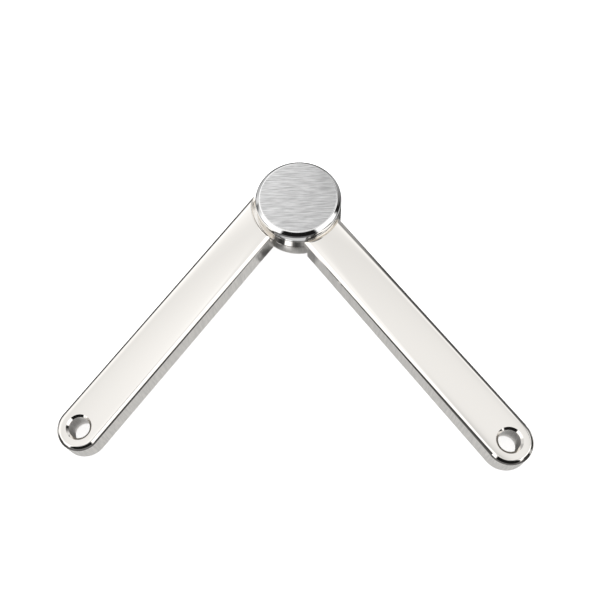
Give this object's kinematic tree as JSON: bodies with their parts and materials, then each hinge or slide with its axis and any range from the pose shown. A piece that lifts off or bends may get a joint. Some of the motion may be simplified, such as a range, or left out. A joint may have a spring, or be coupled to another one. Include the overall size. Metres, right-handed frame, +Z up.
{
  "type": "lid stay",
  "caption": "Folding lid stay: straight nickel arms with end holes, half-lapped at a round friction hub with a brushed cap.",
  "frame": {"origin": "on the hub axis, on the plane of the undersides, at the middle of the pivot bolt's flush head", "axes": "+Z up along the hub axis towards the cap, +X to the upper arm's side, -Y along the middle of the angle between the arms"},
  "size_m": [0.1202, 0.0854, 0.0115],
  "materials": {
    "polished_nickel": "mirror-polished nickel plate on the top faces and chamfers, satin on the side walls",
    "cap_nickel": "line-brushed disc with a mirror-polished bevel",
    "turned_steel": "fine turned steel",
    "spring_steel": "oiled spring steel",
    "bearing_bronze": "plain bearing bronze",
    "friction_lining": "pressed friction lining",
    "dark_acetal": "smooth dark acetal"
  },
  "bodies": {
    "lower_link": {"lower_arm": "polished_nickel", "pivot_bolt": "turned_steel", "head_washer": "dark_acetal", "friction_disc_1": "spring_steel", "friction_disc_2": "spring_steel", "pressure_plate": "turned_steel", "disc_spring_1": "spring_steel", "disc_spring_2": "spring_steel", "lock_nut": "turned_steel"},
    "upper_link": {"upper_arm": "polished_nickel", "cover_cap": "cap_nickel", "pivot_bush": "bearing_bronze", "stop_pin": "turned_steel", "friction_lining_1": "friction_lining", "friction_lining_2": "friction_lining", "friction_lining_3": "friction_lining"}
  },
  "joints": [
    {"name": "arm_hinge", "type": "hinge", "parent": "lower_link", "child": "upper_link", "pos_m": [0, 0, 0.004], "axis": [0, 0, 1], "range_deg": [-45, 105]}
  ]
}
